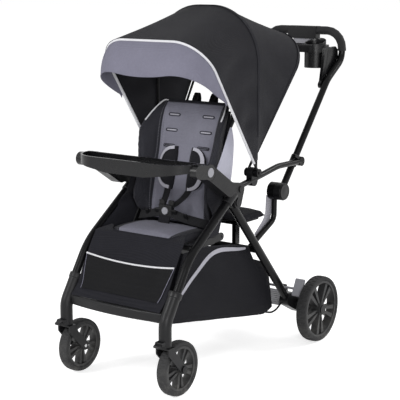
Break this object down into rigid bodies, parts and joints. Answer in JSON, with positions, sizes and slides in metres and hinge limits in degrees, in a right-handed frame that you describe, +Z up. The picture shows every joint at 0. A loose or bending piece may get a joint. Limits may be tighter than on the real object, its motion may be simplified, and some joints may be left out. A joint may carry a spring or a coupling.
{
  "type": "tandem sit-and-stand stroller",
  "caption": "Folding tandem stroller with a reclining front seat, swing canopy, lift-up child tray, rear jump seat and standing deck, basket, and swivelling front wheels.",
  "frame": {"origin": "on the ground, under the middle of the bounding box", "axes": "+Z up, the stroller faces -Y, +X is the rider's left"},
  "size_m": [0.524, 1.072, 1.0866],
  "materials": {
    "frame_metal": "satin",
    "frame_plastic": "satin",
    "console_plastic": "fine grain",
    "steel": "brushed",
    "rim_plastic": "satin",
    "tyre_rubber": "matt",
    "grip_foam": "matt foam",
    "grey_plastic": "satin",
    "black_fabric": "woven",
    "grey_fabric": "woven",
    "webbing": "webbing",
    "light_webbing": "webbing",
    "bow_rod": "satin"
  },
  "bodies": {
    "front_frame": {"front_leg_left": "frame_metal", "front_leg_right": "frame_metal", "leg_boot_left": "frame_plastic", "leg_boot_right": "frame_plastic", "front_crossbar": "frame_plastic", "armrest_left": "frame_plastic", "armrest_right": "frame_plastic", "seat_board": "frame_plastic", "seat_cushion": "grey_fabric", "calf_panel": "black_fabric", "seat_sides": "black_fabric", "basket": "black_fabric", "crotch_strap": "webbing", "buckle": "frame_plastic"},
    "buckle_button": {"buckle_button": "grey_plastic"},
    "caster_left": {"caster_fork_left": "frame_plastic", "front_axle_left": "steel"},
    "caster_right": {"caster_fork_right": "frame_plastic", "front_axle_right": "steel"},
    "front_wheel_left": {"front_rim_left": "rim_plastic", "front_tyre_left": "tyre_rubber"},
    "front_wheel_right": {"front_rim_right": "rim_plastic", "front_tyre_right": "tyre_rubber"},
    "swivel_lock_left": {"swivel_lock_left": "frame_plastic"},
    "swivel_lock_right": {"swivel_lock_right": "frame_plastic"},
    "rear_frame": {"rear_leg_left": "frame_metal", "rear_leg_right": "frame_metal", "fold_struts": "frame_metal", "rear_axle": "steel", "axle_housings": "frame_plastic", "standing_platform": "grey_plastic", "rear_cross_tube": "frame_metal", "bench": "black_fabric", "bench_belt": "light_webbing"},
    "rear_wheel_left": {"rear_rim_left": "rim_plastic", "rear_tyre_left": "tyre_rubber"},
    "rear_wheel_right": {"rear_rim_right": "rim_plastic", "rear_tyre_right": "tyre_rubber"},
    "brake": {"brake_bar": "grey_plastic"},
    "handle": {"handle_tube": "frame_metal", "handle_grip": "grip_foam", "handle_housing": "frame_plastic", "parent_console": "console_plastic", "fold_hubs": "frame_plastic"},
    "fold_trigger": {"fold_trigger": "grey_plastic"},
    "side_arms": {"side_arm_left": "frame_metal", "side_arm_right": "frame_metal", "canopy_clamps": "frame_plastic", "canopy_rear_bow": "bow_rod"},
    "canopy_middle": {"canopy_middle_bow": "bow_rod", "canopy_rear_cloth": "black_fabric"},
    "canopy_front": {"canopy_front_bow": "bow_rod", "visor": "grey_fabric", "canopy_front_cloth": "black_fabric"},
    "seat_back": {"back_board": "frame_plastic", "back_cushion": "grey_fabric", "harness_pads": "webbing"},
    "tray": {"child_tray": "console_plastic"},
    "tray_button_left": {"tray_button_left": "grey_plastic"},
    "tray_button_right": {"tray_button_right": "grey_plastic"}
  },
  "joints": [
    {"name": "buckle_press", "type": "slide", "parent": "front_frame", "child": "buckle_button", "axis": [0, 1, 0], "range_m": [0, 0.003], "stiffness_N_per_m": 300},
    {"name": "caster_left_swivel", "type": "hinge", "parent": "front_frame", "child": "caster_left", "pos_m": [0.185, -0.494, 0.157], "axis": [0, 0, 1], "continuous": true},
    {"name": "front_wheel_left_spin", "type": "hinge", "parent": "caster_left", "child": "front_wheel_left", "pos_m": [0.185, -0.438, 0.08], "axis": [1, 0, 0], "continuous": true},
    {"name": "swivel_lock_left_flip", "type": "hinge", "parent": "front_frame", "child": "swivel_lock_left", "pos_m": [0.185, -0.519, 0.171], "axis": [-1, 0, 0], "range_deg": [0, 25]},
    {"name": "caster_right_swivel", "type": "hinge", "parent": "front_frame", "child": "caster_right", "pos_m": [-0.185, -0.494, 0.157], "axis": [0, 0, 1], "continuous": true},
    {"name": "front_wheel_right_spin", "type": "hinge", "parent": "caster_right", "child": "front_wheel_right", "pos_m": [-0.185, -0.438, 0.08], "axis": [1, 0, 0], "continuous": true},
    {"name": "swivel_lock_right_flip", "type": "hinge", "parent": "front_frame", "child": "swivel_lock_right", "pos_m": [-0.185, -0.519, 0.171], "axis": [-1, 0, 0], "range_deg": [0, 25]},
    {"name": "fold", "type": "hinge", "parent": "front_frame", "child": "rear_frame", "pos_m": [0, -0.153, 0.515], "axis": [-1, 0, 0], "range_deg": [0, 55], "deforming": ["basket"]},
    {"name": "rear_wheel_left_spin", "type": "hinge", "parent": "rear_frame", "child": "rear_wheel_left", "pos_m": [0.24, 0.24, 0.107], "axis": [1, 0, 0], "continuous": true},
    {"name": "rear_wheel_right_spin", "type": "hinge", "parent": "rear_frame", "child": "rear_wheel_right", "pos_m": [-0.24, 0.24, 0.107], "axis": [1, 0, 0], "continuous": true},
    {"name": "brake_press", "type": "hinge", "parent": "rear_frame", "child": "brake", "pos_m": [0, 0.192, 0.174], "axis": [-1, 0, 0], "range_deg": [0, 20]},
    {"name": "handle_fold", "type": "hinge", "parent": "rear_frame", "child": "handle", "pos_m": [0, 0.152, 0.497], "axis": [-1, 0, 0], "range_deg": [-25, 1]},
    {"name": "trigger_squeeze", "type": "slide", "parent": "handle", "child": "fold_trigger", "axis": [0, 0, 1], "range_m": [0, 0.006], "stiffness_N_per_m": 500},
    {"name": "side_arm_fold", "type": "hinge", "parent": "front_frame", "child": "side_arms", "pos_m": [0, -0.14, 0.552], "axis": [-1, 0, 0], "range_deg": [-1, 53]},
    {"name": "canopy_fold", "type": "hinge", "parent": "side_arms", "child": "canopy_middle", "pos_m": [0, -0.048, 0.588], "axis": [-1, 0, 0], "range_deg": [0, 31], "deforming": ["canopy_rear_cloth"]},
    {"name": "canopy_front_fold", "type": "hinge", "parent": "canopy_middle", "child": "canopy_front", "pos_m": [0, -0.048, 0.588], "axis": [-1, 0, 0], "range_deg": [0, 32], "deforming": ["canopy_front_cloth"]},
    {"name": "recline", "type": "hinge", "parent": "front_frame", "child": "seat_back", "pos_m": [0, -0.17, 0.4081], "axis": [-1, 0, 0], "range_deg": [0, 40]},
    {"name": "tray_lift", "type": "hinge", "parent": "front_frame", "child": "tray", "pos_m": [0, -0.33, 0.63], "axis": [-1, 0, 0], "range_deg": [0, 70]},
    {"name": "tray_button_left_press", "type": "slide", "parent": "tray", "child": "tray_button_left", "axis": [-1, 0, 0], "range_m": [0, 0.003], "stiffness_N_per_m": 300},
    {"name": "tray_button_right_press", "type": "slide", "parent": "tray", "child": "tray_button_right", "axis": [1, 0, 0], "range_m": [0, 0.003], "stiffness_N_per_m": 300}
  ],
  "couplings": [
    {"joint": "handle_fold", "follows": "fold", "ratio": -0.417},
    {"joint": "side_arm_fold", "follows": "fold", "ratio": 0.925},
    {"joint": "canopy_front_fold", "follows": "canopy_fold", "ratio": 1}
  ]
}
